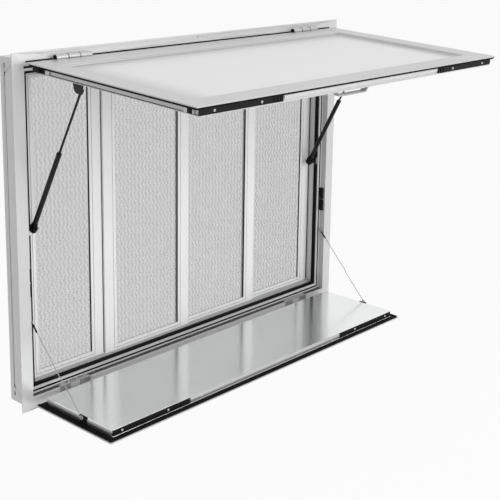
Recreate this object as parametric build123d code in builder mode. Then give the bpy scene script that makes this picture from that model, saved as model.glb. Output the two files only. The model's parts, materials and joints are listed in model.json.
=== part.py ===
import os
from math import atan2, cos, degrees, hypot, radians, sin

from build123d import *

os.makedirs("parts", exist_ok=True)

# A concession window: an aluminium frame that is screwed over an opening in a wall,
# a row of insect screens in tracks, an awning flap held up by two gas struts and a
# serving shelf that hangs on two cables. Millimetres. X runs along the window, Y into
# the wall and Z up. The origin is on the back of the wall flange, at the middle of
# the lap strip below the sill. Both flaps are modelled open.

# Frame
window_width = 1240
window_height = 925
flange_width = 34
flange_lap = 14
frame_wall = 3
body_depth = 66
step_depth = 17
step_width = 16
flange_hole_diameter = 4.6
flange_hole_inset = 8.5
flange_hole_end = 90
slot_length = 12
slot_width = 5
slot_depth_in_wall = 49
slot_first = 35
slot_pitch = 22

# Weather seal, tracks and screens
frame_seal_width = 7
frame_seal_front = 20
frame_seal_depth = 10
gasket_inset = 4
gasket_width = 5
gasket_thickness = 1
track_base = 2
track_rib_height = 8
track_rib_play = 0.2
screen_thickness = 6
screen_gap = 1
screen_front = 42
stile_width = 42
screen_rail = 22
groove_inset = 9
groove_width = 1.5
groove_depth = 1
mesh_thickness = 1
mesh_bar = 3
mesh_columns = 3
mesh_rows = 7
screen_play = 0.5
screen_edge_shifts = (-22, 10, 15)

# Flaps
flap_proud = 13
flap_skin = 3
flap_thickness = 25
tray_wall = 2
tray_inset = 20
flap_seal_thickness = 2
flap_seal_edge = 3
seal_hinge_gap = 3
panel_side_inset = 32
border_width = 60
border_bevel = 45
panel_thickness = 1
panel_lap = 8
meeting_gap = 5.5
rib_depth = 4
rib_thickness = 2
rib_gap = 0.5
channel_depth = 5
channel_height = 14.5
channel_lip = 2.5
strip_depth = 3
strip_end_inset = 1
strip_gap = 1
end_strip_length = 258

# Awning
awning_open = 87
awning_axis_proud = 16
awning_axis_drop = 20
awning_edge_drop = 24
awning_barrel = 16
awning_hinge_length = 111
awning_hinge_inset = 142
awning_leaf_drop = 12
awning_front_inset = 10
awning_side_lip = 3
awning_strip_reach = 5
handle_length = 148
handle_height = 25
handle_width = 18
handle_bar = 4
handle_slant = 20
handle_back = 54

# Shelf
shelf_axis_proud = 10
shelf_axis_rise = 16
shelf_edge_rise = 22
shelf_length = 294.5
shelf_tray_rise = 41
shelf_barrel = 10
shelf_hinge_length = 100
shelf_hinge_inset = 138
leaf_thickness = 2
knuckle_gap = 0.4
pin_play = 0.05

# Gas struts
strut_inset = 25
strut_radius = 6.5
strut_bore_radius = 3.3
rod_radius = 3
rod_socket_half = 5
rod_socket_neck = 3
strut_depth = 34
strut_closed_reach = 281
strut_bracket_drop = 156
strut_bracket_thickness = 3
strut_bracket_half = 20
strut_bracket_shoulder = 15
strut_bracket_shoulder_drop = 18
strut_bracket_height = 28
strut_bracket_gap = 1
cylinder_bore_floor = 16
cylinder_head_gap = 38
pivot_plate_thickness = 4
pivot_plate_depth = 14
pivot_plate_height = 20
pivot_gap = 0.3
stud_radius = 3

# Shelf cables
cable_radius = 1.2
cable_sides = 8
cable_inset = 9
cable_offset = 1.6
cable_anchor_depth = 6
cable_anchor_rise = 235
cable_shelf_reach = 175
cable_shelf_rise = 19.6
eye_radius = 3
eye_half = 1.4
ferrule_radius = 2.4
ferrule_sides = 12
ferrule_start = 10
ferrule_length = 24
joint_gap = 0.3
cable_bracket_length = 26
cable_bracket_thickness = 2
cable_bracket_top = 4

# Latch keepers on the jambs and clips on the awning's sides
keeper_length = 75
keeper_thickness = 7
keeper_depth = 14
keeper_overlap = 14.5
keeper_split = 3
keeper_chamfer = 2
clip_thickness = 5
clip_length = 30
clip_height = 10
clip_edge = 3

# Derived places
half = window_width / 2
base = -flange_lap / 2
top = base + window_height
reveal = flange_width
opening = flange_width + step_width
opening_half = half - opening
reveal_half = half - reveal
mid_z = base + window_height / 2
gasket_edge = reveal + gasket_inset


def frame_side(corner, inward, along, length):
    """One mitred side of the frame: its section carried along from one corner."""
    with BuildPart() as side:
        with BuildSketch(Plane(origin=corner, x_dir=inward, z_dir=along)):
            with BuildLine():
                Polyline(
                    (0, -frame_wall), (reveal, -frame_wall), (reveal, step_depth),
                    (gasket_edge, step_depth), (gasket_edge, step_depth + gasket_thickness),
                    (gasket_edge + gasket_width, step_depth + gasket_thickness),
                    (gasket_edge + gasket_width, step_depth), (opening, step_depth),
                    (opening, body_depth), (flange_lap, body_depth), (flange_lap, 0), (0, 0), close=True,
                )
            make_face()
            with BuildLine():
                Polyline(
                    (flange_lap + frame_wall, 0), (reveal - frame_wall, 0),
                    (reveal - frame_wall, step_depth + frame_wall),
                    (opening - frame_wall, step_depth + frame_wall),
                    (opening - frame_wall, body_depth - frame_wall),
                    (flange_lap + frame_wall, body_depth - frame_wall), close=True,
                )
            make_face(mode=Mode.SUBTRACT)
        extrude(amount=length)
        start = Vector(*corner)
        split(bisect_by=Plane(origin=start, z_dir=Vector(*along) - Vector(*inward)), keep=Keep.TOP)
        end = start + Vector(*along) * length
        split(bisect_by=Plane(origin=end, z_dir=-Vector(*along) - Vector(*inward)), keep=Keep.TOP)
    return side.part


def save(piece, name):
    piece.label = name
    export_step(piece, f"parts/{name}.step")


# Frame: header and sill with three flange screw holes each
header_body = frame_side((-half, 0, top), (0, 0, -1), (1, 0, 0), window_width)
sill_body = frame_side((half, 0, base), (0, 0, 1), (-1, 0, 0), window_width)
for name, body, height in (
    ("frame_header", header_body, top - flange_hole_inset),
    ("frame_sill", sill_body, base + flange_hole_inset),
):
    with BuildPart() as rail:
        add(body)
        with BuildSketch(Plane(origin=(0, 0, height), x_dir=(1, 0, 0), z_dir=(0, 1, 0))):
            with GridLocations(half - flange_hole_end, 1, 3, 1):
                Circle(flange_hole_diameter / 2)
        extrude(amount=frame_wall, both=True, mode=Mode.SUBTRACT)
    save(rail.part, name)

# Jambs with two mounting slots near each end of the outer wall
left_body = frame_side((-half, 0, base), (1, 0, 0), (0, 0, 1), window_height)
right_body = frame_side((half, 0, top), (-1, 0, 0), (0, 0, -1), window_height)
slot_centre = window_height / 2 - slot_first - slot_pitch / 2
for name, body, side in (("left_jamb", left_body, -1), ("right_jamb", right_body, 1)):
    with BuildPart() as jamb:
        add(body)
        wall_x = side * (half - flange_lap)
        with BuildSketch(Plane(origin=(wall_x, slot_depth_in_wall, mid_z), x_dir=(0, 1, 0), z_dir=(1, 0, 0))):
            with GridLocations(1, 2 * slot_centre, 1, 2):
                with GridLocations(1, slot_pitch, 1, 2):
                    SlotOverall(slot_length, slot_width, rotation=90)
        extrude(amount=frame_wall, both=True, mode=Mode.SUBTRACT)
    save(jamb.part, name)

# Weather seal round the inner opening, cut at the strut pivots, and the gasket in the step
awning_axis = (0, -awning_axis_proud, top - awning_axis_drop)
pivot_z = awning_axis[2] - strut_bracket_drop - strut_closed_reach
with BuildPart() as frame_seal:
    with BuildSketch(Plane(origin=(0, frame_seal_front, mid_z), x_dir=(1, 0, 0), z_dir=(0, -1, 0))):
        Rectangle(2 * opening_half, window_height - 2 * opening)
        Rectangle(
            2 * (opening_half - frame_seal_width), window_height - 2 * (opening + frame_seal_width),
            mode=Mode.SUBTRACT,
        )
    extrude(amount=-frame_seal_depth)
    with Locations((0, frame_seal_front + frame_seal_depth / 2, pivot_z)):
        Box(window_width, 2 * frame_seal_depth, pivot_plate_height + 2, mode=Mode.SUBTRACT)
    with BuildSketch(Plane(origin=(0, step_depth, mid_z), x_dir=(1, 0, 0), z_dir=(0, -1, 0))):
        Rectangle(window_width - 2 * gasket_edge, window_height - 2 * gasket_edge)
        gasket_end = gasket_edge + gasket_width
        Rectangle(window_width - 2 * gasket_end, window_height - 2 * gasket_end, mode=Mode.SUBTRACT)
    extrude(amount=-gasket_thickness)
save(frame_seal.part, "frame_seal")

# Tracks: a comb with a groove for each of three screens
screen_pitch = screen_thickness + screen_gap
track_front = screen_front - screen_gap - 1
track_back = screen_front + 3 * screen_pitch
for name, edge_z, direction in (
    ("bottom_track", base + opening, 1),
    ("top_track", top - opening, -1),
):
    with BuildPart() as track:
        with BuildSketch(Plane(origin=(-opening_half, 0, edge_z), x_dir=(0, 1, 0), z_dir=(1, 0, 0))):
            with BuildLine():
                Polyline(
                    (track_front, 0), (track_back, 0), (track_back, direction * track_base),
                    (track_front, direction * track_base), close=True,
                )
            make_face()
            for index in range(4):
                rib = screen_gap - 2 * track_rib_play
                rib_y = screen_front - screen_gap / 2 + index * screen_pitch
                with Locations((rib_y, direction * track_rib_height / 2)):
                    Rectangle(rib, track_rib_height)
        extrude(amount=2 * opening_half)
    save(track.part, name)

# Screens: four frames in three planes, each with a coarse grid where its mesh is
screen_bottom = base + opening + track_base + screen_play
screen_top = top - opening - track_base - screen_play
screen_middle = (screen_bottom + screen_top) / 2
screen_height = screen_top - screen_bottom
edges = [opening_half * (index - 1) / 2 + screen_edge_shifts[index] for index in range(3)]
rights = edges + [opening_half - screen_play]
lefts = [-opening_half + screen_play] + edges
overlaps = (0, 0, stile_width, stile_width)
planes = (1, 0, 1, 2)
for index in range(4):
    x_left = lefts[index] - overlaps[index]
    x_right = rights[index]
    centre = (x_left + x_right) / 2
    front = screen_front + planes[index] * screen_pitch
    window_w = x_right - x_left - 2 * stile_width
    window_h = screen_height - 2 * screen_rail
    face = Plane(origin=(centre, front, screen_middle), x_dir=(1, 0, 0), z_dir=(0, -1, 0))
    groove_end = groove_inset + groove_width
    with BuildPart() as screen:
        with BuildSketch(face):
            Rectangle(x_right - x_left, screen_height)
            Rectangle(window_w, window_h, mode=Mode.SUBTRACT)
        extrude(amount=-screen_thickness)
        with BuildSketch(face):
            Rectangle(window_w + 2 * groove_end, window_h + 2 * groove_end)
            Rectangle(window_w + 2 * groove_inset, window_h + 2 * groove_inset, mode=Mode.SUBTRACT)
        extrude(amount=-groove_depth, mode=Mode.SUBTRACT)
    save(screen.part, f"screen_frame_{index + 1}")
    mesh_y = front + (screen_thickness - mesh_thickness) / 2
    column = (window_w - mesh_bar) / mesh_columns
    row = (window_h - mesh_bar) / mesh_rows
    with BuildPart() as mesh:
        with BuildSketch(Plane(origin=(centre, mesh_y, screen_middle), x_dir=(1, 0, 0), z_dir=(0, -1, 0))):
            Rectangle(window_w, window_h)
            with GridLocations(column, row, mesh_columns, mesh_rows):
                Rectangle(column - mesh_bar, row - mesh_bar, mode=Mode.SUBTRACT)
        extrude(amount=-mesh_thickness)
    save(mesh.part, f"screen_mesh_{index + 1}")

# Latch keepers: two blocks on each reveal where the closed flaps meet
shelf_start = shelf_edge_rise - shelf_axis_rise
shelf_end = shelf_start + shelf_length
keeper_low = base + shelf_axis_rise + shelf_end - keeper_overlap
block_length = (keeper_length - keeper_split) / 2
with BuildPart() as keepers:
    for side in (-1, 1):
        x = side * (reveal_half - keeper_thickness / 2)
        for low in (keeper_low, keeper_low + block_length + keeper_split):
            with Locations((x, step_depth - keeper_depth / 2, low + block_length / 2)):
                Box(keeper_thickness, keeper_depth, block_length)
    chamfer(keepers.edges().filter_by(Axis.Y), length=keeper_chamfer)
save(keepers.part, "latch_keepers")

# Flap frames: x across, y from the hinge axis along the flap, z towards its inner face
lift = radians(awning_open)
awning_plane = Plane(origin=awning_axis, x_dir=(1, 0, 0), z_dir=(0, cos(lift), -sin(lift)))
awning_outer = awning_axis_proud - flap_proud
awning_start = awning_edge_drop - awning_axis_drop
awning_tray_start = awning_start + tray_inset

shelf_axis = (0, -shelf_axis_proud, base + shelf_axis_rise)
shelf_plane = Plane(origin=shelf_axis, x_dir=(-1, 0, 0), z_dir=(0, 0, 1))
shelf_outer = shelf_axis_proud - flap_proud
shelf_tray_start = shelf_tray_rise - shelf_axis_rise
awning_end = window_height - awning_axis_drop - (shelf_axis_rise + shelf_end + meeting_gap)
awning_tray_end = awning_end - awning_front_inset
shelf_tray_end = shelf_end - tray_inset

flap_half = half - panel_side_inset
tray_half = flap_half - tray_inset
awning_hinge_centre = flap_half - awning_hinge_inset
shelf_hinge_centre = flap_half - shelf_hinge_inset
channel_half = tray_half - strip_end_inset - end_strip_length - strip_gap


def tray(plane, start, end, outer, side_lip):
    """A shallow tray behind a flap's skin: four walls, the inner sheet and two ribs along its front."""
    middle = (start + end) / 2
    inner_sheet = outer + flap_thickness - tray_wall
    low_rib = inner_sheet + tray_wall - channel_lip - channel_height - rib_gap - rib_thickness
    with BuildPart() as body:
        with BuildSketch(plane.offset(outer + flap_skin)):
            with Locations((0, middle)):
                Rectangle(2 * tray_half, end - start)
        extrude(amount=flap_thickness - flap_skin)
        with BuildSketch(plane.offset(outer + flap_skin)):
            with Locations((0, middle)):
                Rectangle(2 * (tray_half - tray_wall), end - start - 2 * tray_wall)
        extrude(amount=flap_thickness - flap_skin - tray_wall, mode=Mode.SUBTRACT)
        with BuildSketch(plane.offset(inner_sheet)):
            with Locations((0, middle)):
                Rectangle(2 * (tray_half + side_lip), end - start)
        extrude(amount=tray_wall)
        with BuildSketch(plane.offset(inner_sheet), plane.offset(low_rib)):
            with Locations((0, end + rib_depth / 2)):
                Rectangle(2 * (tray_half + side_lip), rib_depth)
        extrude(amount=rib_thickness)
    return body.part


def seal(plane, start, end, tray_start, tray_end, outer, hinge_centre, hinge_length):
    """The black seal on a flap's margin, cut at its two hinges."""
    with BuildPart() as ring:
        with BuildSketch(plane.offset(outer + flap_skin)):
            with Locations((0, (start + end) / 2)):
                Rectangle(2 * (flap_half - flap_seal_edge), end - start - 2 * flap_seal_edge)
            with Locations((0, (tray_start + tray_end) / 2)):
                Rectangle(2 * tray_half, tray_end - tray_start, mode=Mode.SUBTRACT)
            with Locations((-hinge_centre, tray_start), (hinge_centre, tray_start)):
                Rectangle(hinge_length + 2 * seal_hinge_gap, 3 * tray_inset, mode=Mode.SUBTRACT)
        extrude(amount=flap_seal_thickness)
    return ring.part


def front_channel(plane, front, outer):
    """The metal channel in the middle of a flap's front wall, open to the front."""
    low = outer + flap_thickness - channel_height - channel_lip
    with BuildPart() as channel:
        with BuildSketch(plane.offset(low)):
            with Locations((0, front + channel_depth / 2)):
                Rectangle(2 * channel_half, channel_depth)
        extrude(amount=channel_height)
        with BuildSketch(plane.offset(low + tray_wall)):
            with Locations((0, front + channel_depth / 2 + tray_wall)):
                Rectangle(2 * channel_half, channel_depth)
        extrude(amount=channel_height - 2 * tray_wall, mode=Mode.SUBTRACT)
    return channel.part


def end_strips(plane, front, outer, length):
    """The two black strips beside the channel."""
    low = outer + flap_thickness - channel_height - channel_lip
    centre = channel_half + strip_gap + length / 2
    with BuildPart() as strips:
        with BuildSketch(plane.offset(low)):
            with Locations((-centre, front + strip_depth / 2), (centre, front + strip_depth / 2)):
                Rectangle(length, strip_depth)
        extrude(amount=channel_height)
    return strips.part


# Awning skin: a border frame with a bevelled opening, and the centre panel behind it
awning_length = awning_end - awning_start
awning_middle = (awning_start + awning_end) / 2
awning_inner = awning_outer + flap_thickness
notch = awning_barrel / 2 + 1
with BuildPart() as border:
    with BuildSketch(awning_plane.offset(awning_outer)):
        with Locations((0, awning_middle)):
            Rectangle(2 * flap_half, awning_length)
        with Locations((-awning_hinge_centre, 0), (awning_hinge_centre, 0)):
            Rectangle(awning_hinge_length + 2, 2 * notch, mode=Mode.SUBTRACT)
    extrude(amount=flap_skin)
    with BuildSketch(awning_plane.offset(awning_outer)):
        with Locations((0, awning_middle)):
            Rectangle(2 * (flap_half - border_width), awning_length - 2 * border_width)
    extrude(amount=flap_skin, taper=border_bevel, mode=Mode.SUBTRACT)
save(border.part, "awning_border")

panel_edge = border_width - panel_lap
with BuildPart() as panel:
    with BuildSketch(awning_plane.offset(awning_outer + flap_skin)):
        with Locations((0, awning_middle)):
            Rectangle(2 * (flap_half - panel_edge), awning_length - 2 * panel_edge)
    extrude(amount=panel_thickness)
save(panel.part, "awning_panel")

save(tray(awning_plane, awning_tray_start, awning_tray_end, awning_outer, awning_side_lip), "awning_tray")
awning_ring = seal(
    awning_plane, awning_start, awning_end, awning_tray_start, awning_tray_end, awning_outer,
    awning_hinge_centre, awning_hinge_length,
)
save(awning_ring, "awning_seal")
save(front_channel(awning_plane, awning_tray_end, awning_outer), "awning_front_channel")
awning_strip_length = tray_half + awning_strip_reach - channel_half - strip_gap
save(end_strips(awning_plane, awning_tray_end, awning_outer, awning_strip_length), "awning_end_strips")

# Pull handle under the awning: a flat bar bent into a wide U with sloping legs
handle_start = awning_end - handle_back - handle_width / 2
handle_corner = awning_plane.from_local_coords(Vector(0, handle_start, awning_inner))
foot_x = handle_length / 2
leg_slope = handle_slant / handle_height
leg_width = handle_bar * hypot(1, leg_slope)
inner_height = handle_height - handle_bar
inner_x = foot_x - leg_width - leg_slope * inner_height
with BuildPart() as handle:
    with BuildSketch(Plane(handle_corner, x_dir=(1, 0, 0), z_dir=awning_plane.y_dir)):
        with BuildLine():
            Polyline(
                (-foot_x, 0), (handle_slant - foot_x, -handle_height),
                (foot_x - handle_slant, -handle_height), (foot_x, 0),
                (foot_x - leg_width, 0), (inner_x, -inner_height), (-inner_x, -inner_height),
                (leg_width - foot_x, 0), close=True,
            )
        make_face()
    extrude(amount=handle_width)
save(handle.part, "awning_handle")

# Clips on the awning's sides that meet the latch keepers
with BuildPart(awning_plane) as clips:
    clip_spots = (awning_tray_start + clip_length, awning_tray_end - clip_length)
    clip_z = awning_inner - clip_edge - clip_height / 2
    for side in (-1, 1):
        x = side * (tray_half + clip_thickness / 2)
        with Locations(*[(x, spot, clip_z) for spot in clip_spots]):
            Box(clip_thickness, clip_length, clip_height)
save(clips.part, "awning_clips")


def hinge_knuckles(axis, centre, length, radius, inner):
    """The outer two knuckles of both hinges, or their middle one."""
    third = length / 3
    with BuildPart() as knuckles:
        for side in (-1, 1):
            x = side * centre - length / 2
            spans = [(0, third), (2 * third, length)]
            if inner:
                spans = [(third + knuckle_gap, 2 * third - knuckle_gap)]
            for low, high in spans:
                section = Plane(origin=(x + low, axis[1], axis[2]), x_dir=(0, 1, 0), z_dir=(1, 0, 0))
                with BuildSketch(section):
                    Circle(radius)
                    Circle(radius / 2 + pin_play * inner, mode=Mode.SUBTRACT)
                extrude(amount=high - low)
    return knuckles.part


# Fixed halves of the awning hinges: two knuckles, the pin and a leaf on the flange behind the awning
awning_barrel_radius = awning_barrel / 2
third = awning_hinge_length / 3
with BuildPart() as awning_hinges:
    add(hinge_knuckles(awning_axis, awning_hinge_centre, awning_hinge_length, awning_barrel_radius, False))
    for side in (-1, 1):
        for low, high in ((0, third), (2 * third, awning_hinge_length)):
            x = side * awning_hinge_centre - awning_hinge_length / 2
            with BuildSketch(Plane(origin=(x + low, 0, 0), x_dir=(0, 1, 0), z_dir=(1, 0, 0))):
                with BuildLine():
                    Polyline(
                        (-awning_axis_proud + awning_barrel_radius - 1, awning_axis[2]),
                        (-frame_wall, awning_axis[2]), (-frame_wall, awning_axis[2] - awning_leaf_drop),
                        (-frame_wall - leaf_thickness, awning_axis[2] - awning_leaf_drop),
                        (-frame_wall - leaf_thickness, awning_axis[2] - leaf_thickness),
                        (-awning_axis_proud + awning_barrel_radius - 1, awning_axis[2] - leaf_thickness),
                        close=True,
                    )
                make_face()
            extrude(amount=high - low)
        x = side * awning_hinge_centre - awning_hinge_length / 2
        with BuildSketch(Plane(origin=(x, awning_axis[1], awning_axis[2]), x_dir=(0, 1, 0), z_dir=(1, 0, 0))):
            Circle(awning_barrel_radius / 2)
        extrude(amount=awning_hinge_length)
save(awning_hinges.part, "awning_hinges_fixed")

# Moving halves: the middle knuckle and its leaf into the awning's margin
with BuildPart() as awning_leaves:
    add(hinge_knuckles(awning_axis, awning_hinge_centre, awning_hinge_length, awning_barrel_radius, True))
    leaf_length = third - 2 * knuckle_gap
    leaf_low = awning_outer + flap_skin
    with BuildSketch(awning_plane.offset(leaf_low)):
        with Locations(*[(side * awning_hinge_centre, awning_tray_start / 2) for side in (-1, 1)]):
            Rectangle(leaf_length, awning_tray_start)
    extrude(amount=leaf_thickness)
save(awning_leaves.part, "awning_hinge_leaves")

# Brackets of the struts under the awning, with their pivot pins
strut_plane = opening_half - strut_inset
bracket_x = strut_plane + strut_radius + strut_bracket_gap
pivot_l = strut_bracket_drop
pivot_w = awning_axis_proud + strut_depth
shoulder_w = awning_inner + strut_bracket_shoulder_drop
with BuildPart() as strut_brackets:
    for side in (-1, 1):
        x = side * bracket_x - (strut_bracket_thickness if side < 0 else 0)
        with BuildSketch(Plane(awning_plane.from_local_coords(Vector(x, 0, 0)),
                               x_dir=awning_plane.y_dir, z_dir=(1, 0, 0))):
            with BuildLine():
                Polyline(
                    (pivot_l - strut_bracket_shoulder, shoulder_w),
                    (pivot_l - strut_bracket_half, awning_inner),
                    (pivot_l + strut_bracket_half, awning_inner),
                    (pivot_l + strut_bracket_shoulder, shoulder_w),
                )
                ThreePointArc(
                    (pivot_l + strut_bracket_shoulder, shoulder_w),
                    (pivot_l, awning_inner + strut_bracket_height),
                    (pivot_l - strut_bracket_shoulder, shoulder_w),
                )
            make_face()
        extrude(amount=strut_bracket_thickness)
        pin_x = side * (bracket_x + strut_bracket_thickness / 2)
        pin_end = strut_plane + rod_socket_half + pivot_gap
        with BuildSketch(Plane(awning_plane.from_local_coords(Vector(pin_x, pivot_l, pivot_w)),
                               x_dir=awning_plane.y_dir, z_dir=(-side, 0, 0))):
            Circle(stud_radius)
        extrude(amount=bracket_x + strut_bracket_thickness / 2 - pin_end)
save(strut_brackets.part, "strut_brackets")

# Pivot plates of the struts on the jambs, in the gap of the frame seal
with BuildPart() as strut_pivots:
    for side in (-1, 1):
        plate_x = opening_half - pivot_plate_thickness / 2
        with Locations((side * plate_x, strut_depth, pivot_z)):
            Box(pivot_plate_thickness, pivot_plate_depth, pivot_plate_height)
        stud_end = strut_plane + strut_radius + pivot_gap
        stud = Plane(origin=(side * plate_x, strut_depth, pivot_z), x_dir=(0, 1, 0), z_dir=(-side, 0, 0))
        with BuildSketch(stud):
            Circle(stud_radius)
        extrude(amount=plate_x - stud_end)
save(strut_pivots.part, "strut_pivots")

# Gas struts at full reach: the cylinder stands on the jamb and the rod reaches the awning
bracket_point = awning_plane.from_local_coords(Vector(0, pivot_l, pivot_w))
reach_y = bracket_point.Y - strut_depth
reach_z = bracket_point.Z - pivot_z
open_reach = hypot(reach_y, reach_z)
strut_tilt = atan2(-reach_y, reach_z)
strut_along = (0, -sin(strut_tilt), cos(strut_tilt))
rod_length = strut_closed_reach - rod_socket_half - cylinder_bore_floor
cylinder_length = strut_closed_reach - cylinder_head_gap
for side, word in ((-1, "left"), (1, "right")):
    foot = Vector(side * strut_plane, strut_depth, pivot_z)
    section = Plane(origin=foot, x_dir=(1, 0, 0), z_dir=(0, -cos(strut_tilt), -sin(strut_tilt)))
    with BuildPart() as cylinder:
        with BuildSketch(section):
            with BuildLine():
                Polyline(
                    (0, -strut_radius), (strut_radius - 2, -strut_radius), (strut_radius, -strut_radius + 2),
                    (strut_radius, strut_radius - 2), (strut_radius - 3, strut_radius + 1),
                    (strut_radius - 3, strut_radius + 5), (strut_radius, strut_radius + 6),
                    (strut_radius, cylinder_length - 2), (strut_radius - 2, cylinder_length),
                    (strut_bore_radius, cylinder_length), (strut_bore_radius, cylinder_bore_floor),
                    (0, cylinder_bore_floor), close=True,
                )
            make_face()
        revolve(axis=Axis(foot, Vector(*strut_along)))
    save(cylinder.part, f"{word}_strut_cylinder")
    with BuildPart() as rod:
        with BuildSketch(section):
            with BuildLine():
                Polyline(
                    (0, open_reach + rod_socket_half), (rod_socket_half, open_reach + rod_socket_half),
                    (rod_socket_half, open_reach - rod_socket_half - rod_socket_neck),
                    (rod_radius, open_reach - rod_socket_half - rod_socket_neck - 1),
                    (rod_radius, open_reach - rod_length), (0, open_reach - rod_length), close=True,
                )
            make_face()
        revolve(axis=Axis(foot, Vector(*strut_along)))
    save(rod.part, f"{word}_strut_rod")

# Shelf: the tray whose inner sheet is the counter, its skin, seal and front
with BuildPart() as shelf_skin:
    with BuildSketch(shelf_plane.offset(shelf_outer)):
        with Locations((0, (shelf_start + shelf_end) / 2)):
            Rectangle(2 * flap_half, shelf_length)
    extrude(amount=flap_skin)
save(shelf_skin.part, "shelf_skin")
save(tray(shelf_plane, shelf_tray_start, shelf_tray_end, shelf_outer, 0), "shelf_tray")
shelf_ring = seal(
    shelf_plane, shelf_start, shelf_end, shelf_tray_start, shelf_tray_end, shelf_outer,
    shelf_hinge_centre, shelf_hinge_length,
)
save(shelf_ring, "shelf_seal")
save(front_channel(shelf_plane, shelf_tray_end, shelf_outer), "shelf_front_channel")
save(end_strips(shelf_plane, shelf_tray_end, shelf_outer, end_strip_length), "shelf_end_strips")

# Fixed halves of the shelf hinges: knuckles and a leaf bent over the sill
shelf_barrel_radius = shelf_barrel / 2
shelf_third = shelf_hinge_length / 3
sill_ledge = base + reveal
with BuildPart() as shelf_hinges:
    add(hinge_knuckles(shelf_axis, shelf_hinge_centre, shelf_hinge_length, shelf_barrel_radius, False))
    for side in (-1, 1):
        x = side * shelf_hinge_centre - shelf_hinge_length / 2
        for low, high in ((0, shelf_third), (2 * shelf_third, shelf_hinge_length)):
            with BuildSketch(Plane(origin=(x + low, 0, 0), x_dir=(0, 1, 0), z_dir=(1, 0, 0))):
                with BuildLine():
                    Polyline(
                        (-shelf_axis_proud + shelf_barrel_radius - 1, shelf_axis[2]),
                        (-frame_wall, shelf_axis[2]), (-frame_wall, sill_ledge + leaf_thickness),
                        (-frame_wall - leaf_thickness, sill_ledge + leaf_thickness),
                        (-frame_wall - leaf_thickness, shelf_axis[2] + leaf_thickness),
                        (-shelf_axis_proud + shelf_barrel_radius - 1, shelf_axis[2] + leaf_thickness), close=True,
                    )
                make_face()
            extrude(amount=high - low)
        leaf_y = (step_depth - frame_wall) / 2
        with Locations((side * shelf_hinge_centre, leaf_y, sill_ledge + leaf_thickness / 2)):
            Box(shelf_hinge_length, step_depth + frame_wall, leaf_thickness)
        with BuildSketch(Plane(origin=(x, shelf_axis[1], shelf_axis[2]), x_dir=(0, 1, 0), z_dir=(1, 0, 0))):
            Circle(shelf_barrel_radius / 2)
        extrude(amount=shelf_hinge_length)
save(shelf_hinges.part, "shelf_hinges_fixed")

# Moving halves: the middle knuckle and its leaf on the shelf's margin
with BuildPart() as shelf_leaves:
    add(hinge_knuckles(shelf_axis, shelf_hinge_centre, shelf_hinge_length, shelf_barrel_radius, True))
    with BuildSketch(shelf_plane.offset(shelf_outer + flap_skin)):
        leaf_start = shelf_barrel_radius - 1
        with Locations(*[(side * shelf_hinge_centre, (leaf_start + shelf_tray_start) / 2) for side in (-1, 1)]):
            Rectangle(shelf_third - 2 * knuckle_gap, shelf_tray_start - leaf_start)
    extrude(amount=leaf_thickness)
save(shelf_leaves.part, "shelf_hinge_leaves")

# Cable anchors on the reveals and brackets on the shelf's sides
cable_plane = reveal_half - cable_inset
upper_x = cable_plane + cable_offset
lower_x = cable_plane - cable_offset
anchor_z = base + cable_anchor_rise
with BuildPart() as cable_anchors:
    for side in (-1, 1):
        with BuildSketch(Plane(origin=(side * reveal_half, cable_anchor_depth, anchor_z),
                               x_dir=(0, 1, 0), z_dir=(-side, 0, 0))):
            Circle(stud_radius)
        extrude(amount=reveal_half - upper_x - eye_half - pivot_gap)
save(cable_anchors.part, "cable_anchors")

cable_point = shelf_plane.from_local_coords(Vector(0, cable_shelf_reach, cable_shelf_rise))
bracket_low = shelf_outer + flap_skin + flap_seal_thickness
bracket_high = cable_shelf_rise + cable_bracket_top
plate_x = tray_half + cable_bracket_thickness / 2
with BuildPart() as cable_brackets:
    with BuildSketch(shelf_plane.offset(bracket_low)):
        with Locations((-plate_x, cable_shelf_reach), (plate_x, cable_shelf_reach)):
            Rectangle(cable_bracket_thickness, cable_bracket_length)
    extrude(amount=bracket_high - bracket_low)
    for side in (-1, 1):
        stud = Plane(origin=(side * plate_x, cable_point.Y, cable_point.Z), x_dir=(0, 1, 0), z_dir=(side, 0, 0))
        with BuildSketch(stud):
            Circle(eye_radius)
        extrude(amount=lower_x - eye_half - pivot_gap - plate_x)
save(cable_brackets.part, "cable_brackets")

# Cables: an upper half from the jamb and a lower half from the shelf
run_y = cable_point.Y - cable_anchor_depth
run_z = cable_point.Z - anchor_z
cable_reach = hypot(run_y, run_z)
closed_drop = anchor_z - (shelf_axis[2] + cable_shelf_reach)
upper_length = (cable_reach + closed_drop) / 2
lower_length = (cable_reach - closed_drop) / 2
cable_down = Vector(0, run_y / cable_reach, run_z / cable_reach)


def cable_half(start, along, length, ferrule):
    """A straight stretch of cable with an eye on its pivot and a crimped ferrule behind it."""
    run = Plane(origin=start, x_dir=(1, 0, 0), z_dir=along)
    with BuildPart() as cable:
        with BuildSketch(Plane(origin=start, x_dir=(0, 1, 0), z_dir=(1, 0, 0))):
            Circle(eye_radius)
        extrude(amount=eye_half, both=True)
        with BuildSketch(run):
            RegularPolygon(cable_radius, cable_sides)
        extrude(amount=length)
        with BuildSketch(run.offset(ferrule_start)):
            RegularPolygon(ferrule_radius, ferrule_sides)
        extrude(amount=ferrule)
    return cable.part


for side, word in ((-1, "left"), (1, "right")):
    anchor = Vector(side * upper_x, cable_anchor_depth, anchor_z)
    save(cable_half(anchor, cable_down, upper_length - joint_gap, ferrule_length), f"{word}_cable_upper")
    foot = Vector(side * lower_x, cable_point.Y, cable_point.Z)
    save(cable_half(foot, -cable_down, lower_length - joint_gap, ferrule_length / 2), f"{word}_cable_lower")

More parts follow.
